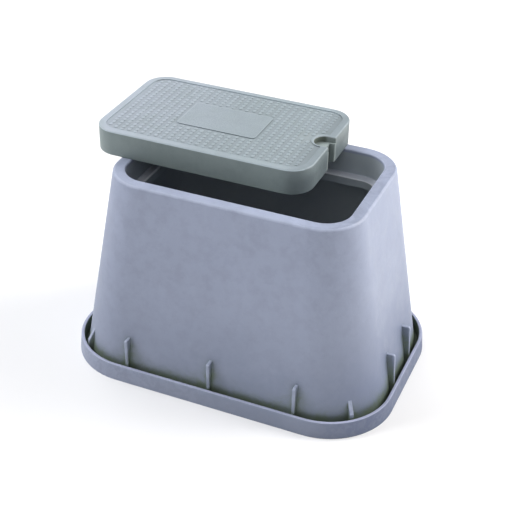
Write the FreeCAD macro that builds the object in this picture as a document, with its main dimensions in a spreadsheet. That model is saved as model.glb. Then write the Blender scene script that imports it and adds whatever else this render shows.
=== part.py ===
import FreeCAD, Part
import Sketcher
import math
import os

# Valve box with its lid lying loose across the open top.
# Frame: +Z up, +X along the long side, origin at the middle of the flange on the ground.
# Two mouldings: the tapered box body, open at the top and at the bottom, and the flat lid.

V = FreeCAD.Vector
os.makedirs("parts", exist_ok=True)
doc = FreeCAD.newDocument("valve_box")

# ---------------------------------------------------------------- dimensions
SIZES = [
    ("body_height", 305.0),
    ("top_half_x", 184.0),          # outside of the box at the rim
    ("top_half_y", 122.0),
    ("top_corner", 60.0),
    ("base_half_x", 235.0),         # outside of the wall where it meets the ground
    ("base_half_y", 158.0),
    ("base_corner", 89.0),
    ("wall_thickness", 6.0),
    ("rim_width", 18.5),
    ("recess_corner", 38.0),
    ("recess_depth", 38.0),         # from the rim down to the ledge that carries the lid
    ("ledge_width", 12.0),
    ("ledge_height", 13.0),
    ("ledge_plate", 6.0),
    ("ledge_lip", 5.0),
    ("recess_wall", 5.5),
    ("foot_half_x", 246.5),         # outside of the flange on the ground
    ("foot_half_y", 169.5),
    ("foot_corner", 100.5),
    ("lip_height", 25.5),
    ("lip_draft", 2.5),             # the outside of the lip leans in by this much
    ("lip_thickness", 4.8),
    ("floor_thickness", 6.0),
    ("gusset_thickness", 5.0),
    ("gusset_height_end", 74.0),
    ("gusset_height_side", 69.0),
    ("gusset_pitch_x", 130.0),
    ("gusset_pitch_y", 73.0),
    ("gusset_reach", 12.5),         # how far a gusset stands off the wall at its top
    ("corner_gusset_thickness", 6.5),
    ("corner_gusset_height", 50.0),
    ("web_thickness", 4.5),
    ("web_pitch_x", 86.0),
    ("web_pitch_y", 78.0),
    ("lid_half_x", 163.0),
    ("lid_half_y", 101.2),
    ("lid_corner", 34.0),
    ("lid_height", 37.5),
    ("lid_plate", 6.5),
    ("lid_skirt", 5.0),
    ("lid_border", 8.0),            # plain flat edge round the sunk tread field
    ("tread_depth", 1.2),
    ("panel_half_x", 61.0),         # plain raised panel in the middle of the tread
    ("panel_half_y", 36.0),
    ("panel_corner", 6.0),
    ("lid_rib", 4.0),
    ("lid_rib_pitch_x", 46.0),
    ("lid_rib_pitch_y", 64.0),
    ("notch_half_width", 15.0),     # finger notch in the middle of the lid's end
    ("notch_length", 26.0),
    ("notch_depth", 9.0),
    ("notch_wall", 4.5),
    ("notch_border", 4.0),
    ("channel_half_width", 12.0),   # groove that runs down the end face below the notch
    ("channel_depth", 8.0),
    ("lid_offset_x", -68.0),        # where the lid lies on the rim
    ("lid_offset_y", 45.7),
]
sheet = doc.addObject("Spreadsheet::Sheet", "Dims")
for row, (alias, number) in enumerate(SIZES, start=1):
    sheet.set("A%d" % row, alias)
    sheet.set("B%d" % row, "%g" % number)
    sheet.setAlias("B%d" % row, alias)
doc.recompute()


class Size:
    """A length that knows its number and the sheet expression that gives it."""

    def __init__(self, number, text):
        self.number, self.text = number, text

    def _other(self, other):
        return other if isinstance(other, Size) else Size(float(other), "%g" % other)

    def __add__(self, other):
        o = self._other(other)
        return Size(self.number + o.number, "(%s + %s)" % (self.text, o.text))

    def __sub__(self, other):
        o = self._other(other)
        return Size(self.number - o.number, "(%s - %s)" % (self.text, o.text))

    def __rsub__(self, other):
        return self._other(other) - self

    def __mul__(self, other):
        o = self._other(other)
        return Size(self.number * o.number, "(%s * %s)" % (self.text, o.text))

    def __truediv__(self, other):
        o = self._other(other)
        return Size(self.number / o.number, "(%s / %s)" % (self.text, o.text))

    def __neg__(self):
        return Size(-self.number, "(0 - %s)" % self.text)

    def root(self):
        return Size(math.sqrt(self.number), "sqrt(%s)" % self.text)


S = {alias: Size(number, "Dims." + alias) for alias, number in SIZES}


def plane(body, role):
    return [f for f in body.Origin.OriginFeatures if f.Role == role][0]


def bind(obj, prop, size):
    obj.setExpression(prop, size.text)


def sketch_on(body, name, role, lift=None, lift_axis="z", placement=None):
    """A sketch on one of the body's own planes, lifted along the plane's normal."""
    sk = body.newObject("Sketcher::SketchObject", name)
    sk.AttachmentSupport = [(plane(body, role), "")]
    sk.MapMode = "FlatFace"
    if placement is not None:
        sk.AttachmentOffset = placement
    if lift is not None:
        sk.AttachmentOffset = FreeCAD.Placement(V(0, 0, lift.number), FreeCAD.Rotation())
        bind(sk, "AttachmentOffset.Base.z", lift)
    return sk


def dimension(sk, kind, first, second, size, name):
    """A named distance, always written as a positive number."""
    if size.number < 0:
        first, second, size = second, first, -size
    index = sk.addConstraint(Sketcher.Constraint(kind, first[0], first[1], second[0], second[1], size.number))
    sk.renameConstraint(index, name)
    bind(sk, "Constraints." + name, size)


def rounded(sk, tag, half_x, half_y, corner, mid_x=None, mid_y=None):
    """Closed rounded rectangle, fully constrained."""
    hx, hy, r = half_x.number, half_y.number, corner.number
    right = (mid_x + half_x) if mid_x else half_x
    left = (mid_x - half_x) if mid_x else -half_x
    top = (mid_y + half_y) if mid_y else half_y
    bottom = (mid_y - half_y) if mid_y else -half_y
    x1, x0, y1, y0 = right.number, left.number, top.number, bottom.number
    z = V(0, 0, 1)

    def arc(cx, cy, start, end):
        return Part.ArcOfCircle(Part.Circle(V(cx, cy, 0), z, r), math.radians(start), math.radians(end))

    edges = [
        Part.LineSegment(V(x0 + r, y0, 0), V(x1 - r, y0, 0)),
        arc(x1 - r, y0 + r, -90, 0),
        Part.LineSegment(V(x1, y0 + r, 0), V(x1, y1 - r, 0)),
        arc(x1 - r, y1 - r, 0, 90),
        Part.LineSegment(V(x1 - r, y1, 0), V(x0 + r, y1, 0)),
        arc(x0 + r, y1 - r, 90, 180),
        Part.LineSegment(V(x0, y1 - r, 0), V(x0, y0 + r, 0)),
        arc(x0 + r, y0 + r, 180, 270),
    ]
    g = sk.addGeometry(edges, False)
    for i in range(8):
        sk.addConstraint(Sketcher.Constraint("Tangent", g[i], 2, g[(i + 1) % 8], 1))
    for i, kind in ((0, "Horizontal"), (2, "Vertical"), (4, "Horizontal"), (6, "Vertical")):
        sk.addConstraint(Sketcher.Constraint(kind, g[i]))
    for i in (3, 5, 7):
        sk.addConstraint(Sketcher.Constraint("Equal", g[1], g[i]))
    index = sk.addConstraint(Sketcher.Constraint("Radius", g[1], r))
    sk.renameConstraint(index, tag + "_corner")
    bind(sk, "Constraints." + tag + "_corner", corner)
    dimension(sk, "DistanceX", (-1, 1), (g[2], 1), right, tag + "_right")
    dimension(sk, "DistanceX", (-1, 1), (g[6], 1), left, tag + "_left")
    dimension(sk, "DistanceY", (-1, 1), (g[4], 1), top, tag + "_top")
    dimension(sk, "DistanceY", (-1, 1), (g[0], 1), bottom, tag + "_bottom")


def polygon(sk, tag, points):
    """Closed polygon whose corners are each placed from the sketch origin."""
    n = len(points)
    xy = [V(p[0].number, p[1].number, 0) for p in points]
    g = sk.addGeometry([Part.LineSegment(xy[i], xy[(i + 1) % n]) for i in range(n)], False)
    for i in range(n):
        sk.addConstraint(Sketcher.Constraint("Coincident", g[i], 2, g[(i + 1) % n], 1))
    for i, (px, py) in enumerate(points):
        dimension(sk, "DistanceX", (-1, 1), (g[i], 1), px, "%s_x%d" % (tag, i))
        dimension(sk, "DistanceY", (-1, 1), (g[i], 1), py, "%s_y%d" % (tag, i))


def check_grown(feature, before, grows):
    """A pad has to add material and a pocket has to take some away."""
    doc.recompute()
    after = feature.Shape.Volume
    if grows and after <= before + 1.0:
        raise RuntimeError(feature.Name + " added nothing")
    if not grows and after >= before - 1.0:
        raise RuntimeError(feature.Name + " removed nothing")
    return after


def loft(body, name, kind, first, second):
    before = body.Shape.Volume if body.Tip else 0.0
    ft = body.newObject("PartDesign::" + kind, name)
    ft.Profile = first
    ft.Sections = [second]
    ft.Ruled = True
    first.Visibility = second.Visibility = False
    check_grown(ft, before, kind == "AdditiveLoft")
    return ft


def pad(body, name, sk, length, reversed_=False, midplane=False):
    before = body.Shape.Volume if body.Tip else 0.0
    ft = body.newObject("PartDesign::Pad", name)
    ft.Profile = sk
    ft.Length = length.number
    bind(ft, "Length", length)
    ft.Reversed = reversed_
    if midplane:
        ft.Midplane = True
    sk.Visibility = False
    check_grown(ft, before, True)
    return ft


def pocket(body, name, sk, length, upward=False):
    """Cuts down from the sketch, or up when upward is set."""
    before = body.Shape.Volume
    ft = body.newObject("PartDesign::Pocket", name)
    ft.Profile = sk
    ft.Length = length.number
    bind(ft, "Length", length)
    ft.Reversed = upward
    sk.Visibility = False
    check_grown(ft, before, False)
    return ft


def row(body, name, features, along, length, count):
    before = body.Shape.Volume
    ft = body.newObject("PartDesign::LinearPattern", name)
    ft.Originals = features
    ft.Direction = ([f for f in body.Origin.OriginFeatures if f.Role == along][0], [""])
    ft.Length = length.number
    bind(ft, "Length", length)
    ft.Occurrences = count
    body.Tip = ft
    check_grown(ft, before, True)
    return ft


def half_turn(body, name, features):
    before = body.Shape.Volume
    ft = body.newObject("PartDesign::PolarPattern", name)
    ft.Originals = features
    ft.Axis = ([f for f in body.Origin.OriginFeatures if f.Role == "Z_Axis"][0], [""])
    ft.Angle = 360.0
    ft.Occurrences = 2
    body.Tip = ft
    check_grown(ft, before, True)
    return ft


def fillet(body, name, radius, wanted):
    """Rounds the edges of the body so far for which wanted(edge) is true."""
    base = body.Tip
    names = []
    for i, edge in enumerate(base.Shape.Edges, start=1):
        if wanted(edge):
            names.append("Edge%d" % i)
    if not names:
        raise RuntimeError(name + " found no edges")
    ft = body.newObject("PartDesign::Fillet", name)
    ft.Base = (base, names)
    ft.Radius = radius
    doc.recompute()
    if ft.Shape.isNull() or not ft.Shape.isValid() or "Invalid" in ft.State or "Error" in ft.State:
        raise RuntimeError(name + " failed on %d edges" % len(names))
    return ft


def flat_at(edge, z, tol=0.02):
    b = edge.BoundBox
    return abs(b.ZMin - z) < tol and abs(b.ZMax - z) < tol


# ---------------------------------------------------------------- box body
body = doc.addObject("PartDesign::Body", "valve_box_body")
body.Label = "valve_box_body"

# Flange: a shallow tray round the foot, with an upstanding lip that leans in a little.
sk0 = sketch_on(body, "foot_low", "XY_Plane")
rounded(sk0, "foot", S["foot_half_x"], S["foot_half_y"], S["foot_corner"])
sk1 = sketch_on(body, "foot_high", "XY_Plane", S["lip_height"])
rounded(sk1, "foot", S["foot_half_x"] - S["lip_draft"], S["foot_half_y"] - S["lip_draft"],
        S["foot_corner"] - S["lip_draft"])
loft(body, "FootLoft", "AdditiveLoft", sk0, sk1)

sk0 = sketch_on(body, "tray_high", "XY_Plane", S["lip_height"])
inset = S["lip_draft"] + S["lip_thickness"]
rounded(sk0, "tray", S["foot_half_x"] - inset, S["foot_half_y"] - inset, S["foot_corner"] - inset)
sk1 = sketch_on(body, "tray_low", "XY_Plane", S["floor_thickness"])
rounded(sk1, "tray", S["foot_half_x"] - inset - 0.6, S["foot_half_y"] - inset - 0.6, S["foot_corner"] - inset - 0.6)
loft(body, "TrayLoft", "SubtractiveLoft", sk0, sk1)

# Tapered wall, full height.
sk0 = sketch_on(body, "wall_low", "XY_Plane")
rounded(sk0, "wall", S["base_half_x"], S["base_half_y"], S["base_corner"])
sk1 = sketch_on(body, "wall_high", "XY_Plane", S["body_height"])
rounded(sk1, "wall", S["top_half_x"], S["top_half_y"], S["top_corner"])
loft(body, "WallLoft", "AdditiveLoft", sk0, sk1)


def wall_at(axis, z):
    """Half size (or corner radius) of the wall's outside at height z."""
    low, high = S["base_" + axis], S["top_" + axis]
    return low - (low - high) * z / S["body_height"]


# Hollow inside, up to the underside of the rim.
t = S["wall_thickness"]
sk0 = sketch_on(body, "hollow_low", "XY_Plane")
rounded(sk0, "hollow", S["base_half_x"] - t, S["base_half_y"] - t, S["base_corner"] - t)
under_rim = S["body_height"] - t
sk1 = sketch_on(body, "hollow_high", "XY_Plane", under_rim)
rounded(sk1, "hollow", wall_at("half_x", under_rim) - t, wall_at("half_y", under_rim) - t,
        wall_at("corner", under_rim) - t)
loft(body, "HollowLoft", "SubtractiveLoft", sk0, sk1)

# Recess wall with the ledge at its foot, hung from the rim.
recess_x = S["top_half_x"] - S["rim_width"]
recess_y = S["top_half_y"] - S["rim_width"]
ledge_top = S["body_height"] - S["recess_depth"]
ledge_low = ledge_top - S["ledge_height"]
sk = sketch_on(body, "recess_outline", "XY_Plane", ledge_low)
w = S["recess_wall"]
rounded(sk, "recess", recess_x + w, recess_y + w, S["recess_corner"] + w)
pad(body, "RecessBlock", sk, S["body_height"] - ledge_low)
sk = sketch_on(body, "recess_inside", "XY_Plane", S["body_height"])
rounded(sk, "inside", recess_x, recess_y, S["recess_corner"])
pocket(body, "RecessPocket", sk, S["recess_depth"])
sk = sketch_on(body, "throat", "XY_Plane", ledge_top)
w = S["ledge_width"]
rounded(sk, "throat", recess_x - w, recess_y - w, S["recess_corner"] - w)
pocket(body, "ThroatPocket", sk, S["ledge_height"] + 2)
# The ledge is cored from below, which leaves a turned-down lip at its inner edge.
sk = sketch_on(body, "ledge_core", "XY_Plane", ledge_low)
rounded(sk, "outer", recess_x, recess_y, S["recess_corner"])
w = S["ledge_width"] - S["ledge_lip"]
rounded(sk, "inner", recess_x - w, recess_y - w, S["recess_corner"] - w)
pocket(body, "LedgeCore", sk, S["ledge_height"] - S["ledge_plate"], upward=True)

# Webs between the recess wall and the outer wall, as trapezoids that stop inside the wall.
z0 = ledge_low + 1.5
z1 = S["body_height"] - 3


def web_points(axis, side):
    inner = (recess_x if axis == "half_x" else recess_y) + 3
    pts = [(inner, z0), (wall_at(axis, z0) - 3, z0), (wall_at(axis, z1) - 3, z1), (inner, z1)]
    if side < 0:
        pts = [(-a, b) for a, b in reversed(pts)]
    return pts


sk = body.newObject("Sketcher::SketchObject", "webs_end")
sk.AttachmentSupport = [(plane(body, "XZ_Plane"), "")]
sk.MapMode = "FlatFace"
sk.AttachmentOffset = FreeCAD.Placement(V(0, 0, S["web_pitch_y"].number / 2), FreeCAD.Rotation())
bind(sk, "AttachmentOffset.Base.z", S["web_pitch_y"] / 2)
polygon(sk, "right", web_points("half_x", 1))
polygon(sk, "left", web_points("half_x", -1))
ends = pad(body, "WebsEnd", sk, S["web_thickness"], midplane=True)
row(body, "WebsEndRow", [ends], "Y_Axis", S["web_pitch_y"], 2)
sk = body.newObject("Sketcher::SketchObject", "webs_side")
sk.AttachmentSupport = [(plane(body, "YZ_Plane"), "")]
sk.MapMode = "FlatFace"
sk.AttachmentOffset = FreeCAD.Placement(V(0, 0, -S["web_pitch_x"].number), FreeCAD.Rotation())
bind(sk, "AttachmentOffset.Base.z", -S["web_pitch_x"])
polygon(sk, "back", web_points("half_y", 1))
polygon(sk, "front", web_points("half_y", -1))
sides = pad(body, "WebsSide", sk, S["web_thickness"], midplane=True)
row(body, "WebsSideRow", [sides], "X_Axis", S["web_pitch_x"] * 2, 3)

# Gussets in the tray: each stands on the floor, ties the lip to the wall and has a flat top.
floor_in = S["floor_thickness"] - 2
lip_top = S["lip_height"] - 4


def gusset_points(axis, side, foot, top):
    """Outline in the vertical plane through the gusset, outward distance and height."""
    low = wall_at(axis, floor_in) - 3
    lip_inside = foot - S["lip_draft"] - S["lip_thickness"]
    pts = [
        (low, floor_in),
        (lip_inside + 1.5, floor_in),
        (lip_inside + 1.5, lip_top - 4),
        (lip_inside - 1.2, lip_top),
        (wall_at(axis, top) + S["gusset_reach"], top),
        (wall_at(axis, top) - 3, top),
    ]
    if side < 0:
        pts = [(-a, b) for a, b in reversed(pts)]
    return pts


sk = body.newObject("Sketcher::SketchObject", "gussets_end")
sk.AttachmentSupport = [(plane(body, "XZ_Plane"), "")]
sk.MapMode = "FlatFace"
sk.AttachmentOffset = FreeCAD.Placement(V(0, 0, S["gusset_pitch_y"].number / 2), FreeCAD.Rotation())
bind(sk, "AttachmentOffset.Base.z", S["gusset_pitch_y"] / 2)
polygon(sk, "right", gusset_points("half_x", 1, S["foot_half_x"], S["gusset_height_end"]))
polygon(sk, "left", gusset_points("half_x", -1, S["foot_half_x"], S["gusset_height_end"]))
ends = pad(body, "GussetsEnd", sk, S["gusset_thickness"], midplane=True)
row(body, "GussetsEndRow", [ends], "Y_Axis", S["gusset_pitch_y"], 2)
sk = body.newObject("Sketcher::SketchObject", "gussets_side")
sk.AttachmentSupport = [(plane(body, "YZ_Plane"), "")]
sk.MapMode = "FlatFace"
sk.AttachmentOffset = FreeCAD.Placement(V(0, 0, -S["gusset_pitch_x"].number), FreeCAD.Rotation())
bind(sk, "AttachmentOffset.Base.z", -S["gusset_pitch_x"])
polygon(sk, "back", gusset_points("half_y", 1, S["foot_half_y"], S["gusset_height_side"]))
polygon(sk, "front", gusset_points("half_y", -1, S["foot_half_y"], S["gusset_height_side"]))
sides = pad(body, "GussetsSide", sk, S["gusset_thickness"], midplane=True)
row(body, "GussetsSideRow", [sides], "X_Axis", S["gusset_pitch_x"] * 2, 3)

# One lower gusset at each corner, square to the lip's curve, with a sloped top.
CORNER_TURN = 47.5
CORNER_COS, CORNER_SIN = math.cos(math.radians(CORNER_TURN)), math.sin(math.radians(CORNER_TURN))
# How far the gusset's plane passes from the middle of the box: it goes through the middle of the lip's curve.
corner_aside = (S["foot_half_x"] - S["foot_corner"]) * CORNER_SIN - (S["foot_half_y"] - S["foot_corner"]) * CORNER_COS


def along_corner(half_x, half_y, corner):
    """Where a rounded outline crosses the corner gusset's plane, measured along that plane."""
    cx, cy = half_x - corner, half_y - corner
    off = corner_aside - (cx * CORNER_SIN - cy * CORNER_COS)
    return cx * CORNER_COS + cy * CORNER_SIN + (corner * corner - off * off).root()


def wall_corner(z):
    return along_corner(wall_at("half_x", z), wall_at("half_y", z), wall_at("corner", z))


corner_pads = []
for tag, side in (("back", 1), ("front", -1)):
    sk = body.newObject("Sketcher::SketchObject", "gusset_corner_" + tag)
    sk.AttachmentSupport = [(plane(body, "XZ_Plane"), "")]
    sk.MapMode = "FlatFace"
    aside_x, aside_z = corner_aside * CORNER_SIN, corner_aside * (CORNER_COS * side)
    sk.AttachmentOffset = FreeCAD.Placement(V(aside_x.number, 0, aside_z.number),
                                            FreeCAD.Rotation(V(0, 1, 0), CORNER_TURN * side))
    bind(sk, "AttachmentOffset.Base.x", aside_x)
    bind(sk, "AttachmentOffset.Base.z", aside_z)
    inset = S["lip_draft"] + S["lip_thickness"]
    lip_inside = along_corner(S["foot_half_x"] - inset, S["foot_half_y"] - inset, S["foot_corner"] - inset)
    top = S["corner_gusset_height"]
    polygon(sk, "g", [
        (wall_corner(floor_in) - 3, floor_in),
        (lip_inside + 1.5, floor_in),
        (lip_inside + 1.5, lip_top - 4),
        (lip_inside - 1.2, lip_top),
        (lip_inside - 1.6, S["lip_height"] + 5.5),
        (wall_corner(top) - 3, top + 4.5),
    ])
    corner_pads.append(pad(body, "GussetCorner_" + tag, sk, S["corner_gusset_thickness"], midplane=True))
half_turn(body, "GussetCornerTurn", corner_pads)

print("body volume before rounding, cm3: %.1f" % (body.Shape.Volume / 1000.0))

# Rounded edges. The gussets first: the outer corner of the top, then both long edges.
GH = S["gusset_height_end"].number
GT = S["gusset_thickness"].number
CT = S["corner_gusset_thickness"].number
RX, RY = recess_x.number, recess_y.number
LIP = S["lip_height"].number
BH = S["body_height"].number
LEDGE = ledge_top.number


def outside_wall(point, clear):
    """Is the point further out than the wall's outside at its height, by at least clear?"""
    hx, hy = wall_at("half_x", Size(point.z, "0")).number, wall_at("half_y", Size(point.z, "0")).number
    r = wall_at("corner", Size(point.z, "0")).number
    qx, qy = abs(point.x) - (hx - r), abs(point.y) - (hy - r)
    if qx <= 0 and qy <= 0:
        return False
    d = math.hypot(max(qx, 0.0), max(qy, 0.0)) - r
    return d > clear


def gusset_corner(edge):
    b = edge.BoundBox
    mid = b.Center
    across = abs(edge.Length - GT) < 0.05 or abs(edge.Length - CT) < 0.05
    return (abs(b.ZMax - b.ZMin) < 0.02 and across and mid.z > LIP + 3
            and mid.z < GH + 3 and outside_wall(mid, 5.0))


def gusset_side(edge):
    b = edge.BoundBox
    mid = b.Center
    if b.ZMin < LIP - 8 or b.ZMax > GH + 3 or not outside_wall(mid, 1.5):
        return False
    return abs(edge.Length - GT) > 0.05 and abs(edge.Length - CT) > 0.05 and b.ZMax > LIP + 2


fillet(body, "GussetCornerRound", 3.0, gusset_corner)
fillet(body, "GussetSideRound", 1.4, gusset_side)


def rim_outer(edge):
    b = edge.BoundBox
    return flat_at(edge, BH) and (b.XMax > RX + 3 or b.XMin < -RX - 3 or b.YMax > RY + 3 or b.YMin < -RY - 3)


def rim_inner(edge):
    return flat_at(edge, BH) and not rim_outer(edge) and edge.BoundBox.DiagonalLength > 20


def ledge_edge(edge):
    b = edge.BoundBox
    w = S["ledge_width"].number
    return flat_at(edge, LEDGE) and max(abs(b.XMin), abs(b.XMax)) < RX - w + 0.1 and max(abs(b.YMin), abs(b.YMax)) < RY - w + 0.1


def lip_edge(edge):
    return flat_at(edge, LIP) and edge.BoundBox.DiagonalLength > 20


def foot_edge(edge):
    b = edge.BoundBox
    return flat_at(edge, 0.0) and outside_wall(b.Center, 1.0)


fillet(body, "RimOuterRound", 5.0, rim_outer)
fillet(body, "RimInnerRound", 2.5, rim_inner)
fillet(body, "LedgeRound", 1.5, ledge_edge)
fillet(body, "LipRound", 1.5, lip_edge)
print("body volume after rounding, cm3: %.1f" % (body.Shape.Volume / 1000.0))

# ---------------------------------------------------------------- lid
lid = doc.addObject("PartDesign::Body", "valve_box_lid")
lid.Label = "valve_box_lid"
height = S["lid_height"]
sk = sketch_on(lid, "lid_outline", "XY_Plane")
rounded(sk, "lid", S["lid_half_x"], S["lid_half_y"], S["lid_corner"])
pad(lid, "LidBlock", sk, height)
# Hollow underside: plate on top, skirt all round.
sk = sketch_on(lid, "lid_hollow", "XY_Plane")
w = S["lid_skirt"]
rounded(sk, "hollow", S["lid_half_x"] - w, S["lid_half_y"] - w, S["lid_corner"] - w)
pocket(lid, "LidHollow", sk, height - S["lid_plate"], upward=True)
# Ribs under the plate, lengthwise and crosswise, down to the level of the skirt's edge.
rib_inside_x = S["lid_half_x"] - 2
rib_inside_y = S["lid_half_y"] - 2
half_rib = S["lid_rib"] / 2


def bar(sk, tag, x0, x1, y0, y1):
    polygon(sk, tag, [(x0, y0), (x1, y0), (x1, y1), (x0, y1)])


sk = sketch_on(lid, "lid_ribs_long", "XY_Plane")
half_pitch = S["lid_rib_pitch_y"] / 2
bar(sk, "p", -rib_inside_x, rib_inside_x, half_pitch - half_rib, half_pitch + half_rib)
bar(sk, "n", -rib_inside_x, rib_inside_x, -half_pitch - half_rib, -half_pitch + half_rib)
pad(lid, "LidRibsLong", sk, height - 2)
sk = sketch_on(lid, "lid_ribs_cross", "XY_Plane")
for k, tag in ((-3, "a"), (-2, "b"), (-1, "c"), (0, "d"), (1, "e"), (2, "f"), (3, "g")):
    mid = S["lid_rib_pitch_x"] * k
    if k == 0:
        bar(sk, tag, -half_rib, half_rib, -rib_inside_y, rib_inside_y)
    else:
        bar(sk, tag, mid - half_rib, mid + half_rib, -rib_inside_y, rib_inside_y)
pad(lid, "LidRibsCross", sk, height - 2)
# The tread field, sunk a little below the border, with a plain panel left standing in its middle.
sk = sketch_on(lid, "tread_field", "XY_Plane", height)
w = S["lid_border"] + 2.5
rounded(sk, "field", S["lid_half_x"] - w, S["lid_half_y"] - w, S["lid_corner"] - w)
rounded(sk, "panel", S["panel_half_x"], S["panel_half_y"], S["panel_corner"])
pocket(lid, "TreadPocket", sk, S["tread_depth"])

# Boss round the finger notch.
notch_in = S["lid_half_x"] - S["notch_length"]
w = S["notch_wall"]
sk = sketch_on(lid, "notch_boss", "XY_Plane")
bar(sk, "boss", notch_in - w, S["lid_half_x"] - 2, -S["notch_half_width"] - w, S["notch_half_width"] + w)
pad(lid, "NotchBoss", sk, height - 2)


def slot_open_right(sk, inner, right, half):
    """A slot with a half-round inner end, open past the lid's end."""
    r = half.number
    cx = inner.number + r
    xr = right.number
    top = sk.addGeometry(Part.LineSegment(V(cx, r, 0), V(xr, r, 0)), False)
    end = sk.addGeometry(Part.LineSegment(V(xr, r, 0), V(xr, -r, 0)), False)
    low = sk.addGeometry(Part.LineSegment(V(xr, -r, 0), V(cx, -r, 0)), False)
    arc = sk.addGeometry(Part.ArcOfCircle(Part.Circle(V(cx, 0, 0), V(0, 0, 1), r),
                                          math.radians(90), math.radians(270)), False)
    sk.addConstraint(Sketcher.Constraint("Coincident", top, 2, end, 1))
    sk.addConstraint(Sketcher.Constraint("Coincident", end, 2, low, 1))
    sk.addConstraint(Sketcher.Constraint("Tangent", low, 2, arc, 2))
    sk.addConstraint(Sketcher.Constraint("Tangent", arc, 1, top, 1))
    sk.addConstraint(Sketcher.Constraint("Horizontal", top))
    sk.addConstraint(Sketcher.Constraint("Horizontal", low))
    sk.addConstraint(Sketcher.Constraint("Vertical", end))
    sk.addConstraint(Sketcher.Constraint("PointOnObject", arc, 3, -1))
    index = sk.addConstraint(Sketcher.Constraint("Radius", arc, r))
    sk.renameConstraint(index, "slot_radius")
    bind(sk, "Constraints.slot_radius", half)
    dimension(sk, "DistanceX", (-1, 1), (arc, 3), inner + half, "slot_centre")
    dimension(sk, "DistanceX", (-1, 1), (end, 1), right, "slot_end")


# Border of the notch, level with the border of the lid.
sk = sketch_on(lid, "notch_rim", "XY_Plane", height - 3)
slot_open_right(sk, notch_in - S["notch_border"], S["lid_half_x"] - 2, S["notch_half_width"] + S["notch_border"])
pad(lid, "NotchRim", sk, Size(3.0, "3"))
sk = sketch_on(lid, "notch", "XY_Plane", height)
slot_open_right(sk, notch_in, S["lid_half_x"] + 6, S["notch_half_width"])
pocket(lid, "NotchPocket", sk, S["notch_depth"])
# Groove down the end face.
sk = sketch_on(lid, "channel", "XY_Plane", height)
bar(sk, "ch", S["lid_half_x"] - S["channel_depth"], S["lid_half_x"] + 6,
    -S["channel_half_width"], S["channel_half_width"])
pocket(lid, "ChannelPocket", sk, height + 2)
# Core from below under the notch floor.
sk = sketch_on(lid, "notch_core", "XY_Plane")
bar(sk, "core", notch_in + 1, S["lid_half_x"] - S["channel_depth"] - w,
    -S["notch_half_width"] + 1, S["notch_half_width"] - 1)
pocket(lid, "NotchCore", sk, height - S["notch_depth"] - w, upward=True)

print("lid volume before rounding, cm3: %.1f" % (lid.Shape.Volume / 1000.0))

# Round the lid's outline, the notch and the groove.
HT = height.number
LX, LY, LC = S["lid_half_x"].number, S["lid_half_y"].number, S["lid_corner"].number
NX, NY = notch_in.number, S["notch_half_width"].number


def on_outline(point):
    qx, qy = abs(point.x) - (LX - LC), abs(point.y) - (LY - LC)
    return abs(math.hypot(max(qx, 0.0), max(qy, 0.0)) - LC) < 0.05 and (qx > 0 or qy > 0)


def middle(edge):
    return edge.valueAt((edge.FirstParameter + edge.LastParameter) / 2.0)


def in_notch(point):
    return point.x > NX - 0.1 and abs(point.y) < NY + 0.1


def lid_top_outline(edge):
    return flat_at(edge, HT) and on_outline(middle(edge))


def lid_channel_edge(edge):
    p = middle(edge)
    return abs(edge.BoundBox.ZMax - edge.BoundBox.ZMin) > 5 and in_notch(p) and abs(p.x - LX) < 0.05


def lid_foot_edge(edge):
    return flat_at(edge, 0.0) and on_outline(middle(edge))


fillet(lid, "LidChannelRound", 2.0, lid_channel_edge)
# the round runs on from the outline into the notch, because the groove's corners are rounded first
fillet(lid, "LidTopRound", 2.5, lid_top_outline)
fillet(lid, "LidFootRound", 1.0, lid_foot_edge)

lid.Placement = FreeCAD.Placement(V(S["lid_offset_x"].number, S["lid_offset_y"].number, S["body_height"].number),
                                  FreeCAD.Rotation())
bind(lid, "Placement.Base.x", S["lid_offset_x"])
bind(lid, "Placement.Base.y", S["lid_offset_y"])
bind(lid, "Placement.Base.z", S["body_height"])
body.Placement = FreeCAD.Placement(V(0, 0, 0), FreeCAD.Rotation())
doc.recompute()

# ---------------------------------------------------------------- checks and export
for obj in doc.Objects:
    for state in obj.State:
        if state in ("Invalid", "Error"):
            raise RuntimeError("%s is %s" % (obj.Name, state))
for piece in (body, lid):
    shape = piece.Shape
    if shape.isNull() or not shape.isValid() or len(shape.Solids) != 1:
        raise RuntimeError(piece.Label + " is not one valid solid")
    box = shape.BoundBox
    print("%s volume %.1f cm3, box %.1f %.1f %.1f to %.1f %.1f %.1f" % (
        piece.Label, shape.Volume / 1000.0, box.XMin, box.YMin, box.ZMin, box.XMax, box.YMax, box.ZMax))
for piece in (body, lid):
    piece.Shape.exportStep("parts/%s.step" % piece.Label)
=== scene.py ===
import math
import bpy
import bmesh
from mathutils import Matrix, Vector


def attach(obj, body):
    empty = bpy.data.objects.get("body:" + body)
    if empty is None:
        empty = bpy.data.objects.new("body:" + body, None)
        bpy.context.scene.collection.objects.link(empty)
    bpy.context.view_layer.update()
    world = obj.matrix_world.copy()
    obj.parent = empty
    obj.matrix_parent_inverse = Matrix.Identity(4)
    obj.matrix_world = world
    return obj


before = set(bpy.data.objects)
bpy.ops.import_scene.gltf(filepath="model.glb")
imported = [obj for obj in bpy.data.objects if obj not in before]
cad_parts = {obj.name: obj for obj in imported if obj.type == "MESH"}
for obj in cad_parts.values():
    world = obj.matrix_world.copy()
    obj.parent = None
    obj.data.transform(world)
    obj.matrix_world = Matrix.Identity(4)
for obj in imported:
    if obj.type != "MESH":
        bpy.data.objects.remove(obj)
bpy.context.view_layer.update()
scene = bpy.context.scene

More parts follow.
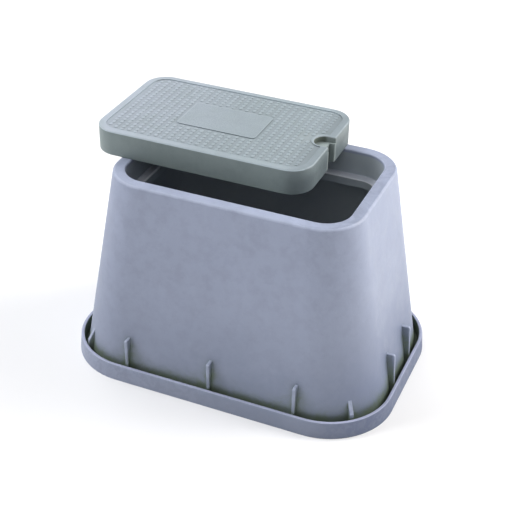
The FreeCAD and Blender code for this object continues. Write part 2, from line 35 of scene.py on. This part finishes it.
# ---------------------------------------------------------------- camera
AZ, EL, ROLL = math.radians(22.57), math.radians(32.96), math.radians(1.19)
back = Vector((math.sin(AZ) * math.cos(EL), -math.cos(AZ) * math.cos(EL), math.sin(EL)))
right = Vector((math.cos(AZ), math.sin(AZ), 0.0))
up = back.cross(right)
target = right * 0.00287 + up * 0.13092
cam_right = right * math.cos(ROLL) + up * math.sin(ROLL)
cam_up = up * math.cos(ROLL) - right * math.sin(ROLL)
cam = bpy.data.cameras.new("camera")
cam.sensor_width = 36.0
cam.sensor_fit = "HORIZONTAL"
cam.lens = 36.0 * 1170.86 / 512.0
cam.clip_start, cam.clip_end = 0.05, 80.0
cam_obj = bpy.data.objects.new("camera", cam)
place = Matrix((cam_right, cam_up, back)).transposed().to_4x4()
place.translation = target + back * 1.80239
cam_obj.matrix_world = place
scene.collection.objects.link(cam_obj)
scene.camera = cam_obj
scene.view_settings.view_transform = "Standard"


# ---------------------------------------------------------------- material helpers
class Surface:
    """A material under construction, with short ways to add and join nodes."""

    def __init__(self, name):
        self.mat = bpy.data.materials.new(name)
        self.mat.use_nodes = True
        self.tree = self.mat.node_tree
        self.shader = self.tree.nodes["Principled BSDF"]
        self.place = self.tree.nodes.new("ShaderNodeTexCoord").outputs["Object"]

    def feed(self, socket, value):
        if isinstance(value, bpy.types.NodeSocket):
            self.tree.links.new(value, socket)
        else:
            socket.default_value = value

    def math(self, kind, a, b=0.5, c=0.0, clamp=False):
        n = self.tree.nodes.new("ShaderNodeMath")
        n.operation = kind
        n.use_clamp = clamp
        self.feed(n.inputs[0], a)
        self.feed(n.inputs[1], b)
        self.feed(n.inputs[2], c)
        return n.outputs[0]

    def stretch(self, x, y, z):
        n = self.tree.nodes.new("ShaderNodeMapping")
        n.inputs["Scale"].default_value = (x, y, z)
        self.tree.links.new(self.place, n.inputs["Vector"])
        return n.outputs[0]

    def noise(self, scale, detail=2.0, rough=0.5, twist=0.0, where=None):
        n = self.tree.nodes.new("ShaderNodeTexNoise")
        n.inputs["Scale"].default_value = scale
        n.inputs["Detail"].default_value = detail
        n.inputs["Roughness"].default_value = rough
        n.inputs["Distortion"].default_value = twist
        self.tree.links.new(where or self.place, n.inputs["Vector"])
        return n.outputs[0]

    def spread(self, value, low, high, to_low=0.0, to_high=1.0):
        n = self.tree.nodes.new("ShaderNodeMapRange")
        n.interpolation_type = "SMOOTHSTEP"
        self.feed(n.inputs["Value"], value)
        n.inputs["From Min"].default_value = low
        n.inputs["From Max"].default_value = high
        n.inputs["To Min"].default_value = to_low
        n.inputs["To Max"].default_value = to_high
        return n.outputs[0]

    def mix(self, factor, a, b, kind="MIX"):
        n = self.tree.nodes.new("ShaderNodeMix")
        n.data_type = "RGBA"
        n.blend_type = kind
        self.feed(n.inputs[0], factor)
        self.feed(n.inputs[6], a if isinstance(a, bpy.types.NodeSocket) else (*a, 1.0))
        self.feed(n.inputs[7], b if isinstance(b, bpy.types.NodeSocket) else (*b, 1.0))
        return n.outputs[2]

    def bump(self, height, distance, strength, under=None):
        n = self.tree.nodes.new("ShaderNodeBump")
        n.inputs["Distance"].default_value = distance
        n.inputs["Strength"].default_value = strength
        self.tree.links.new(height, n.inputs["Height"])
        if under is not None:
            self.tree.links.new(under, n.inputs["Normal"])
        return n.outputs[0]

    def edges(self, radius, low, high):
        """1 on sharp edges, 0 on flats."""
        bevel = self.tree.nodes.new("ShaderNodeBevel")
        bevel.samples = 6
        bevel.inputs["Radius"].default_value = radius
        geometry = self.tree.nodes.new("ShaderNodeNewGeometry")
        dot = self.tree.nodes.new("ShaderNodeVectorMath")
        dot.operation = "DOT_PRODUCT"
        self.tree.links.new(bevel.outputs[0], dot.inputs[0])
        self.tree.links.new(geometry.outputs["Normal"], dot.inputs[1])
        return self.spread(dot.outputs["Value"], low, high, 1.0, 0.0)

    def hollows(self, distance, low, high):
        """1 deep in corners and gaps, 0 in the open."""
        n = self.tree.nodes.new("ShaderNodeAmbientOcclusion")
        n.samples = 6
        n.inputs["Distance"].default_value = distance
        return self.spread(n.outputs["AO"], low, high, 1.0, 0.0)

    def axis(self, name, of="place"):
        n = self.tree.nodes.new("ShaderNodeSeparateXYZ")
        if of == "place":
            self.tree.links.new(self.place, n.inputs[0])
        else:
            geometry = self.tree.nodes.new("ShaderNodeNewGeometry")
            self.tree.links.new(geometry.outputs["True Normal"], n.inputs[0])
        return n.outputs[name]


def shade(colour, k):
    return tuple(min(1.0, c * k) for c in colour)


def moulded(name, colour, grime, rough=0.47):
    """Structural-foam plastic: cloudy tone, flow marks, specks, rubbed edges, dust and painted shade in the corners."""
    s = Surface(name)
    # tone: broad clouds, upright flow marks with swirls in them, dark specks
    cloud = s.spread(s.noise(5.0, 3.0, 0.55, 0.9), 0.34, 0.66)
    base = s.mix(cloud, shade(colour, 0.955), shade(colour, 1.04))
    flow = s.spread(s.noise(17.0, 5.0, 0.62, 2.6, s.stretch(1.0, 1.0, 0.34)), 0.40, 0.70)
    base = s.mix(s.math("MULTIPLY", flow, 0.48), base, tuple(c * 1.06 + 0.006 for c in colour))
    dull = s.spread(s.noise(31.0, 4.0, 0.6, 1.4, s.stretch(1.0, 1.0, 0.5)), 0.52, 0.72)
    base = s.mix(s.math("MULTIPLY", dull, 0.30), base, shade(colour, 0.90))
    base = s.mix(s.spread(s.noise(620.0, 2.0, 0.7), 0.52, 0.70, 0.0, 0.24), base, shade(colour, 0.78))
    # fine scuffs, here and there
    scuff = s.spread(s.noise(46.0, 6.0, 0.75, 1.6, s.stretch(0.35, 0.35, 2.4)), 0.60, 0.70)
    scuff = s.math("MULTIPLY", scuff, s.spread(s.noise(7.0, 2.0, 0.5, 0.3), 0.50, 0.66))
    base = s.mix(s.math("MULTIPLY", scuff, 0.22), base, tuple(c * 1.25 + 0.03 for c in colour))
    # pale bloom of the weathered skin, and rubbed edges
    bloom = s.spread(s.noise(60.0, 3.0, 0.6), 0.30, 0.62, 0.25, 1.0)
    base = s.mix(s.math("MULTIPLY", bloom, 0.30), base, tuple(c * 1.30 + 0.035 for c in colour))
    worn = s.edges(0.0022, 0.82, 0.990)
    worn = s.math("MULTIPLY", worn, s.spread(s.noise(75.0, 4.0, 0.65), 0.30, 0.62, 0.35, 1.0))
    base = s.mix(s.math("MULTIPLY", worn, 0.50), base, tuple(c * 1.40 + 0.05 for c in colour))
    # dust and damp in the corners, and painted shade: an occlusion mask darkens the hollows
    deep = s.hollows(0.026, 0.30, 0.92)
    deep = s.math("MULTIPLY", deep, s.spread(s.noise(38.0, 4.0, 0.6), 0.25, 0.75, 0.55, 1.0))
    s.base, s.worn, s.deep, s.scuff, s.grime = base, worn, deep, scuff, grime
    # relief: broad sink marks, soft orange peel, fine grain
    height = s.bump(s.noise(10.0, 2.0, 0.4, 0.3), 0.0016, 0.5)
    height = s.bump(s.noise(150.0, 3.0, 0.5), 0.00030, 0.45, height)
    height = s.bump(s.noise(1150.0, 2.0, 0.6), 0.00012, 0.55, height)
    s.tree.links.new(height, s.shader.inputs["Normal"])
    s.shader.inputs["IOR"].default_value = 1.5
    s.gloss = s.spread(s.noise(30.0, 3.0, 0.6, 0.4), 0.30, 0.70, rough - 0.05, rough + 0.06)
    s.gloss = s.math("ADD", s.gloss, s.math("MULTIPLY", bloom, 0.08))
    return s


def finish(s):
    """Joins the colour and the gloss to the shader."""
    s.feed(s.shader.inputs["Base Color"], s.base)
    gloss = s.math("ADD", s.gloss, s.math("MULTIPLY", s.scuff, 0.12))
    gloss = s.math("SUBTRACT", gloss, s.math("MULTIPLY", s.worn, 0.04))
    gloss = s.math("ADD", gloss, s.math("MULTIPLY", s.deep, 0.22), clamp=True)
    s.feed(s.shader.inputs["Roughness"], gloss)
    return s.mat


BODY = (0.268, 0.302, 0.405)
LID = (0.190, 0.235, 0.237)
# the lid's top colour, paler and bluer than its sides: partly weathering, partly a painted sheen
LID_TOP_FADED_AND_LIT = (0.254, 0.300, 0.333)

# The body is darker towards the ground, most of all on the lip and in its trough: partly ground dirt, partly painted
# shade.
s = moulded("body_grey", BODY, (0.098, 0.132, 0.080))
z = s.axis("Z")
# how far a point is inside the wall's outside: below -4 mm it is on the inner faces
reach_x = s.math("MAXIMUM", s.math("SUBTRACT", s.math("ABSOLUTE", s.axis("X")), s.math("MULTIPLY_ADD", z, -0.0721, 0.146)), 0.0)
reach_y = s.math("MAXIMUM", s.math("SUBTRACT", s.math("ABSOLUTE", s.axis("Y")), s.math("MULTIPLY_ADD", z, -0.0230, 0.069)), 0.0)
reach = s.math("SQRT", s.math("ADD", s.math("MULTIPLY", reach_x, reach_x), s.math("MULTIPLY", reach_y, reach_y)))
depth = s.math("SUBTRACT", reach, s.math("MULTIPLY_ADD", z, -0.0951, 0.089))
# painted light: the inner faces are painted lighter than the outside, lifting the shade inside the box
inside_painted_light = s.math("MULTIPLY", s.spread(depth, -0.0048, -0.0032, 1.0, 0.0), s.spread(z, 0.2990, 0.3015, 1.0, 0.0))
inside_painted_light = s.math("MULTIPLY", inside_painted_light, s.spread(s.noise(20.0, 5.0, 0.65, 0.9), 0.25, 0.75, 0.70, 1.0))
s.base = s.mix(s.math("MULTIPLY", inside_painted_light, 0.88), s.base, (0.375, 0.420, 0.432))
# painted light on the ledge that the lid sits on, brightest along its inner edge as a painted highlight
ledge_painted_light = s.math("MULTIPLY", s.spread(depth, -0.0236, -0.0220, 1.0, 0.0), s.math("MULTIPLY", s.spread(z, 0.2645, 0.2660), s.spread(z, 0.2675, 0.2690, 1.0, 0.0)))
s.base = s.mix(s.math("MULTIPLY", ledge_painted_light, 0.80), s.base, (0.680, 0.705, 0.800))
ledge_painted_light = s.math("MULTIPLY", ledge_painted_light, s.spread(depth, -0.0355, -0.0340, 1.0, 0.0))
s.base = s.mix(s.math("MULTIPLY", ledge_painted_light, 0.90), s.base, (0.880, 0.890, 0.940))
# painted shade: the faces turned to the right end are darker, where the key light falls
s.base = s.mix(s.spread(s.axis("X", "normal"), 0.45, 0.90, 0.0, 0.30), s.base, shade(BODY, 0.78))
# darker towards the ground: partly dirt, partly painted shade against the floor's bounce light
stain_and_shade = s.spread(z, 0.010, 0.300, 0.34, 0.0)
stain_and_shade = s.math("MULTIPLY", stain_and_shade, s.spread(s.noise(9.0, 4.0, 0.6, 0.5), 0.25, 0.75, 0.75, 1.0))
# the outside of the lip is lighter at the left end than at the right end
foot_x = s.math("MAXIMUM", s.math("SUBTRACT", s.math("ABSOLUTE", s.axis("X")), 0.146), 0.0)
foot_y = s.math("MAXIMUM", s.math("SUBTRACT", s.math("ABSOLUTE", s.axis("Y")), 0.069), 0.0)
foot = s.math("SQRT", s.math("ADD", s.math("MULTIPLY", foot_x, foot_x), s.math("MULTIPLY", foot_y, foot_y)))
foot = s.math("MULTIPLY_ADD", z, 0.098, foot)
outer = s.math("MULTIPLY", s.spread(foot, 0.0975, 0.0992), s.spread(z, 0.0262, 0.0285, 1.0, 0.0))
within = s.math("SUBTRACT", 1.0, outer)
dirt_and_shade_share = s.math("SUBTRACT", 1.0, s.math("MULTIPLY", outer, s.spread(s.axis("X"), -0.20, 0.20, 0.52, 0.0)))
stain_and_shade = s.math("MULTIPLY", stain_and_shade, dirt_and_shade_share)
s.base = s.mix(stain_and_shade, s.base, shade(BODY, 0.62))
# darker and bluer low down, more at the right end: partly splashed dirt, partly painted shade
splash_and_shade = s.spread(z, 0.015, 0.175, 0.60, 0.0)
splash_and_shade = s.math("MULTIPLY", splash_and_shade, s.spread(s.noise(14.0, 5.0, 0.65, 0.8), 0.25, 0.70, 0.55, 1.0))
splash_and_shade = s.math("MULTIPLY", splash_and_shade, s.spread(s.axis("X"), -0.18, 0.08, 0.25, 1.0))
splash_and_shade = s.math("MULTIPLY", splash_and_shade, dirt_and_shade_share)
s.base = s.mix(splash_and_shade, s.base, (0.146, 0.180, 0.262))
# a darker band at the foot of the lip: partly ground dirt, partly painted shade against the floor's bounce light
band_dirt_and_shade = s.spread(z, 0.0215, 0.0240, 0.26, 0.0)
band_dirt_and_shade = s.math("MULTIPLY", band_dirt_and_shade, s.spread(s.noise(22.0, 4.0, 0.6, 0.4), 0.25, 0.75, 0.75, 1.0))
band_dirt_and_shade = s.math("MULTIPLY", band_dirt_and_shade, dirt_and_shade_share)
s.base = s.mix(band_dirt_and_shade, s.base, shade(BODY, 0.50))
# the outside of the lip is made lighter at its left end
lip_left_lighter = s.math("MULTIPLY", outer, s.spread(s.axis("X"), -0.16, 0.06, 0.08, 0.0))
s.base = s.mix(lip_left_lighter, s.base, (0.385, 0.405, 0.575))
# painted shade: the lower part of the right end is darkened and made bluer
right = s.math("MULTIPLY", s.spread(s.axis("X"), 0.150, 0.225), s.spread(z, 0.020, 0.200, 0.55, 0.0))
right = s.math("MULTIPLY", right, s.spread(s.noise(11.0, 4.0, 0.6, 0.6), 0.25, 0.75, 0.75, 1.0))
s.base = s.mix(right, s.base, (0.138, 0.166, 0.262))
# painted shade: the outside of the lip at the right end is darkened against the key light
s.base = s.mix(s.math("MULTIPLY", outer, s.spread(s.axis("X"), 0.150, 0.235, 0.0, 0.85)), s.base, (0.112, 0.138, 0.226))
mottle = s.math("MULTIPLY", outer, s.spread(s.noise(85.0, 5.0, 0.7, 0.8), 0.44, 0.60, 0.0, 0.42))
s.base = s.mix(mottle, s.base, shade(BODY, 0.72))
# a wide olive stain where the wall runs down into the trough, and round the gussets; its occlusion mask also makes it
# painted shade in these hollows
damp_and_shade = s.hollows(0.060, 0.45, 0.95)
damp_and_shade = s.math("MULTIPLY", damp_and_shade, s.math("MULTIPLY", s.spread(z, 0.022, 0.095, 1.0, 0.0), within))
damp_and_shade = s.math("MULTIPLY", damp_and_shade, s.spread(s.noise(44.0, 6.0, 0.70, 0.9), 0.36, 0.60, 0.22, 1.0))
damp_and_shade = s.math("MULTIPLY", damp_and_shade, s.spread(depth, -0.0040, -0.0020))
s.base = s.mix(s.math("MULTIPLY", damp_and_shade, 0.66), s.base, (0.152, 0.198, 0.128))
# darker olive patches deeper in the hollows: stain, and painted shade from the occlusion mask
moss_and_shade = s.math("MULTIPLY", s.hollows(0.040, 0.60, 0.985), s.spread(s.noise(27.0, 7.0, 0.72, 1.1), 0.47, 0.60))
moss_and_shade = s.math("MULTIPLY", moss_and_shade, s.math("MULTIPLY", s.spread(z, 0.045, 0.080, 1.0, 0.0), within))
moss_and_shade = s.math("MULTIPLY", moss_and_shade, s.spread(depth, -0.0040, -0.0020))
s.base = s.mix(s.math("MULTIPLY", moss_and_shade, 0.55), s.base, (0.138, 0.178, 0.112))
# painted shade: the rim's top face is darkened, most at the right end near the key light, with a mottle
rim = s.math("MULTIPLY", s.spread(z, 0.3030, 0.3042), s.spread(s.axis("Z", "normal"), 0.75, 0.95))
rim = s.math("MULTIPLY", rim, s.spread(s.axis("X"), 0.10, 0.17, 0.0, 0.62))
rim = s.math("MULTIPLY", rim, s.spread(s.noise(40.0, 5.0, 0.68, 0.9), 0.32, 0.66, 0.45, 1.0))
s.base = s.mix(rim, s.base, shade(BODY, 0.58))
# dust and painted shade from the occlusion mask, strongest low down and weak on the lip's outside
s.deep = s.math("MULTIPLY", s.deep, s.spread(z, 0.050, 0.085, 1.0, 0.12))
s.deep = s.math("MULTIPLY", s.deep, s.math("MULTIPLY_ADD", within, 0.85, 0.15))
s.base = s.mix(s.math("MULTIPLY", s.deep, 0.78), s.base, s.grime)
# the lip's top edge is paler: partly rubbed wear, partly a painted highlight
lip_wear_and_highlight = s.math("MULTIPLY", s.spread(z, 0.0238, 0.0252), s.spread(z, 0.0262, 0.0275, 1.0, 0.0))
lip_wear_and_highlight = s.math("MULTIPLY", lip_wear_and_highlight, s.spread(s.axis("Z", "normal"), 0.35, 0.75))
lip_wear_and_highlight = s.math("MULTIPLY", lip_wear_and_highlight, s.spread(s.noise(48.0, 4.0, 0.65), 0.25, 0.65, 0.60, 1.0))
s.base = s.mix(s.math("MULTIPLY", lip_wear_and_highlight, 0.92), s.base, (0.360, 0.388, 0.535))
# the sloping tops and outer edges of the gussets are paler too: partly rubbed wear, partly a painted highlight
knocks_and_highlight = s.math("MAXIMUM", s.spread(s.axis("Z", "normal"), 0.28, 0.50), s.math("MULTIPLY", s.spread(depth, 0.0075, 0.0100), 0.6))
knocks_and_highlight = s.math("MULTIPLY", knocks_and_highlight, s.math("MULTIPLY", s.spread(z, 0.0265, 0.0300), s.spread(z, 0.088, 0.096, 1.0, 0.0)))
knocks_and_highlight = s.math("MULTIPLY", knocks_and_highlight, s.spread(s.noise(70.0, 4.0, 0.65), 0.28, 0.62, 0.35, 1.0))
s.base = s.mix(s.math("MULTIPLY", knocks_and_highlight, 0.60), s.base, tuple(c * 1.40 + 0.05 for c in BODY))
# the round edges of the rim are paler than the faces beside them: partly rubbed wear, partly a painted highlight
edge = s.math("MULTIPLY", s.spread(s.axis("Z", "normal"), 0.22, 0.50), s.spread(s.axis("Z", "normal"), 0.90, 0.985, 1.0, 0.0))
edge = s.math("MULTIPLY", s.math("MULTIPLY", edge, s.spread(z, 0.2990, 0.3010)), s.spread(s.noise(60.0, 4.0, 0.65), 0.30, 0.62, 0.35, 1.0))
s.base = s.mix(s.math("MULTIPLY", edge, 0.50), s.base, tuple(c * 1.30 + 0.05 for c in BODY))
body_skin = finish(s)

# The lid's top is paler and bluer than its sides, partly weathering and partly a painted sheen, and paler still towards
# its left end; the floor between the bars is darker, partly dirt and partly painted shade, and the bar tops are paler,
# partly rubbed wear and partly a painted highlight.
s = moulded("lid_green_grey", LID, (0.085, 0.105, 0.095), rough=0.48)
z = s.axis("Z")
top = s.spread(z, 0.3405, 0.3412)
s.base = s.mix(s.math("MULTIPLY", top, 0.85), s.base, LID_TOP_FADED_AND_LIT)
pale = s.math("MULTIPLY", top, s.spread(s.axis("X"), -0.235, 0.0, 0.80, 0.0))
s.base = s.mix(pale, s.base, (0.368, 0.408, 0.478))
s.base = s.mix(s.spread(s.noise(24.0, 5.0, 0.62, 1.2), 0.42, 0.70, 0.0, 0.35), s.base, tuple(c * 1.12 + 0.01 for c in LID))
# the floor between the bars is darker: partly dirt, partly painted shade
low = s.math("MULTIPLY", top, s.spread(z, 0.3414, 0.3422, 1.0, 0.0))
low = s.math("MULTIPLY", low, s.spread(s.noise(55.0, 4.0, 0.6), 0.25, 0.70, 0.55, 1.0))
s.base = s.mix(s.math("MULTIPLY", low, 0.26), s.base, (0.105, 0.125, 0.125))
# the bar tops are paler: partly rubbed wear, partly a painted highlight
high = s.math("MULTIPLY", s.spread(z, 0.3421, 0.3424), s.spread(s.noise(42.0, 4.0, 0.65), 0.30, 0.62))
s.base = s.mix(s.math("MULTIPLY", high, 0.16), s.base, tuple(c * 1.35 + 0.02 for c in LID_TOP_FADED_AND_LIT))
# darker round the finger notch and down that end: partly handling dirt, partly painted shade
end_dirt_and_shade = s.math("MULTIPLY", s.spread(s.axis("X"), 0.050, 0.092), s.spread(z, 0.3220, 0.3410, 1.0, 0.50))
end_dirt_and_shade = s.math("MULTIPLY", end_dirt_and_shade, s.spread(s.noise(26.0, 4.0, 0.6, 0.6), 0.20, 0.75, 0.65, 1.0))
aside = s.math("ABSOLUTE", s.math("SUBTRACT", s.axis("Y"), 0.0457))
end_dirt_and_shade = s.math("MULTIPLY", end_dirt_and_shade, s.spread(aside, 0.0150, 0.0185, 0.25, 1.0))
s.base = s.mix(s.math("MULTIPLY", end_dirt_and_shade, 0.84), s.base, (0.078, 0.098, 0.110))
# a little olive in the notch, painted shade on the notch's walls, and a pale line along the round of the top edge,
# partly rubbed wear and partly a painted highlight
slot = s.math("MULTIPLY", s.spread(aside, 0.0160, 0.0195, 1.0, 0.0), s.spread(s.axis("X"), 0.042, 0.050))
slot = s.math("MULTIPLY", slot, s.spread(z, 0.3405, 0.3420, 1.0, 0.0))
s.base = s.mix(s.math("MULTIPLY", slot, 0.45), s.base, (0.285, 0.325, 0.325))
# painted shade on the notch's walls, deepest at its inner end
notch_wall_shade = s.math("MULTIPLY", s.math("MULTIPLY", slot, s.spread(s.axis("X"), 0.078, 0.084, 1.0, 0.15)), s.spread(s.axis("Z", "normal"), 0.40, 0.70, 1.0, 0.0))
s.base = s.mix(s.math("MULTIPLY", notch_wall_shade, 0.78), s.base, (0.058, 0.072, 0.048))
edge = s.math("MULTIPLY", s.spread(s.axis("Z", "normal"), 0.22, 0.50), s.spread(s.axis("Z", "normal"), 0.90, 0.985, 1.0, 0.0))
edge = s.math("MULTIPLY", s.math("MULTIPLY", edge, s.spread(z, 0.3385, 0.3400)), s.spread(s.noise(60.0, 4.0, 0.65), 0.30, 0.62, 0.35, 1.0))
# painted light: the little step round the sunk field is painted as pale as the border, lifting its shade
step_painted_light = s.math("MULTIPLY", s.spread(z, 0.3405, 0.3412), s.spread(s.axis("Z", "normal"), 0.50, 0.80, 1.0, 0.0))
step_painted_light = s.math("MULTIPLY", step_painted_light, s.math("MAXIMUM", s.spread(aside, 0.0860, 0.0885), s.spread(s.axis("X"), -0.2190, -0.2165, 1.0, 0.0)))
s.base = s.mix(s.math("MULTIPLY", edge, 0.45), s.base, tuple(c * 1.30 + 0.04 for c in LID_TOP_FADED_AND_LIT))
# dust and painted shade in the hollows, from the occlusion mask
s.base = s.mix(s.math("MULTIPLY", s.deep, 0.30), s.base, s.grime)
s.base = s.mix(s.math("MULTIPLY", step_painted_light, 0.85), s.base, shade(LID_TOP_FADED_AND_LIT, 1.75))
across = s.math("ABSOLUTE", s.math("SUBTRACT", s.axis("X"), -0.068))
along = s.math("ABSOLUTE", s.math("SUBTRACT", s.axis("Y"), 0.0457))
panel = s.math("MULTIPLY", s.spread(across, 0.0580, 0.0600, 1.0, 0.0), s.spread(along, 0.0330, 0.0350, 1.0, 0.0))
panel = s.math("MULTIPLY", panel, s.spread(z, 0.3420, 0.3424))
stipple = s.spread(s.noise(520.0, 2.0, 0.6), 0.40, 0.62)
s.base = s.mix(s.math("MULTIPLY", panel, s.spread(stipple, 0.0, 1.0, 0.42, 0.12)), s.base, shade(LID_TOP_FADED_AND_LIT, 0.66))
lid_skin = finish(s)

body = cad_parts["valve_box_body"]
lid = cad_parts["valve_box_lid"]
body.data.materials.clear()
body.data.materials.append(body_skin)
lid.data.materials.clear()
lid.data.materials.append(lid_skin)

# ---------------------------------------------------------------- tread of the lid
# Staggered rows of low bars across the lid, in the sunk field between the border and the panel.
MID_X, MID_Y, TOP = -0.068, 0.0457, 0.3425
FIELD_X, FIELD_Y, FIELD_R = 0.1525, 0.0907, 0.0235
PANEL_X, PANEL_Y = 0.061, 0.036
NOTCH_X, NOTCH_Y = 0.133, 0.019
FLOOR_Z = TOP - 0.0012
ROW, STEP = 0.01048, 0.00825
BAR_W, BAR_L = 0.0056, 0.0075


def field_half(x):
    """Half width of the sunk field at a distance x along the lid."""
    x = abs(x)
    if x <= FIELD_X - FIELD_R:
        return FIELD_Y
    return FIELD_Y - FIELD_R + math.sqrt(max(0.0, FIELD_R ** 2 - (x - FIELD_X + FIELD_R) ** 2))


def spans(x):
    """Stretches of a row, along the lid's width, that are free for bars."""
    edge = min(field_half(x - BAR_W / 2), field_half(x + BAR_W / 2)) - 0.0024
    free = [(-edge, edge)]
    if abs(x) - BAR_W / 2 < PANEL_X + 0.0015:
        free = [(-edge, -PANEL_Y - 0.0028), (PANEL_Y + 0.0028, edge)]
    if x + BAR_W / 2 > NOTCH_X - 0.016:
        reach = x + BAR_W / 2 - (NOTCH_X + NOTCH_Y)
        half = NOTCH_Y if reach > 0 else math.sqrt(max(0.0, NOTCH_Y ** 2 - reach ** 2))
        half += 0.0024
        free = [(-edge, -half), (half, edge)]
    return free


def add_bar(bm, x, y0, y1):
    """One bar: rounded ends, sloping sides and a small round along its top."""
    half_w, half_l = BAR_W / 2, (y1 - y0) / 2
    cy = (y0 + y1) / 2
    r = min(0.0022, half_l * 0.9)
    around = []
    for cx_sign, cy_sign, start in ((1, 1, 0), (-1, 1, 90), (-1, -1, 180), (1, -1, 270)):
        for k in range(5):
            a = math.radians(start + 22.5 * k)
            around.append((cx_sign * (half_w - r) + r * math.cos(a), cy_sign * (half_l - r) + r * math.sin(a),
                           math.cos(a), math.sin(a)))
    levels = ((0.00055, FLOOR_Z - 0.0004), (0.00022, FLOOR_Z + 0.00055), (0.0, TOP - 0.00038),
              (-0.00022, TOP - 0.00016), (-0.00062, TOP - 0.00008))
    rings = []
    for grow, z in levels:
        rings.append([bm.verts.new((MID_X + x + px + nx * (grow - 0.00035), MID_Y + cy + py + ny * (grow - 0.00035), z))
                      for px, py, nx, ny in around])
    n = len(around)
    for low, high in zip(rings, rings[1:]):
        for k in range(n):
            bm.faces.new((low[k], low[(k + 1) % n], high[(k + 1) % n], high[k]))
    bm.faces.new(rings[-1])
    bm.faces.new(list(reversed(rings[0])))


bm = bmesh.new()
bars = 0
for k in range(-14, 14):
    x = (k + 0.5) * ROW
    offset = 0.0 if k % 2 else 0.5
    for lo, hi in spans(x):
        for j in range(-13, 14):
            mid = (j + offset) * STEP
            y0, y1 = max(lo, mid - BAR_L / 2), min(hi, mid + BAR_L / 2)
            if y1 - y0 >= 0.0034:
                add_bar(bm, x, y0, y1)
                bars += 1
bmesh.ops.recalc_face_normals(bm, faces=bm.faces[:])
mesh = bpy.data.meshes.new("lid_tread")
bm.to_mesh(mesh)
bm.free()
mesh.shade_smooth()
mesh.set_sharp_from_angle(angle=math.radians(62))
tread = bpy.data.objects.new("lid_tread", mesh)
scene.collection.objects.link(tread)
tread.data.materials.append(lid_skin)
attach(tread, "root")
print("bars", bars, "triangles", sum(len(p.vertices) - 2 for p in mesh.polygons))

# ---------------------------------------------------------------- floor and light
bm = bmesh.new()
bmesh.ops.create_grid(bm, x_segments=1, y_segments=1, size=20.0)
mesh = bpy.data.meshes.new("floor")
bm.to_mesh(mesh)
bm.free()
floor = bpy.data.objects.new("floor", mesh)
scene.collection.objects.link(floor)
paper = bpy.data.materials.new("floor")
paper.use_nodes = True
paper.node_tree.nodes["Principled BSDF"].inputs["Base Color"].default_value = (0.86, 0.86, 0.865, 1)
paper.node_tree.nodes["Principled BSDF"].inputs["Roughness"].default_value = 0.9
floor.data.materials.append(paper)

world = bpy.data.worlds.new("world")
world.use_nodes = True
world.node_tree.nodes["Background"].inputs["Color"].default_value = (1, 1, 1, 1)
world.node_tree.nodes["Background"].inputs["Strength"].default_value = 0.285
scene.world = world

AIM = Vector((0.0, 0.0, 0.16))


def away(azimuth, elevation):
    """Direction from the object to a light; azimuth 0 is in front of it, 90 at its right end."""
    a, e = math.radians(azimuth), math.radians(elevation)
    return Vector((math.sin(a) * math.cos(e), -math.cos(a) * math.cos(e), math.sin(e)))


def lamp(name, kind, direction, distance, energy, colour):
    light = bpy.data.lights.new(name, kind)
    light.energy = energy
    light.color = colour
    o = bpy.data.objects.new(name, light)
    o.location = AIM + direction * distance
    o.rotation_euler = (-direction).to_track_quat("-Z", "Y").to_euler()
    scene.collection.objects.link(o)
    return light


# One softbox close by at the right and behind, and three broad far lights that also light the whole floor.
key = lamp("key", "AREA", away(122, 34), 1.7, 32.2, (1.0, 0.98, 0.955))
key.shape = "RECTANGLE"
key.size, key.size_y = 1.1, 1.1
for name, azimuth, elevation, energy, spread, colour in (
        ("left", -84, 46, 2.52, 34, (0.98, 0.985, 1.0)),
        ("rear", 228, 38, 0.60, 44, (0.94, 0.96, 1.0)),
        ("front", 2, 50, 0.46, 40, (1.0, 1.0, 1.0))):
    lamp(name, "SUN", away(azimuth, elevation), 4.0, energy, colour).angle = math.radians(spread)
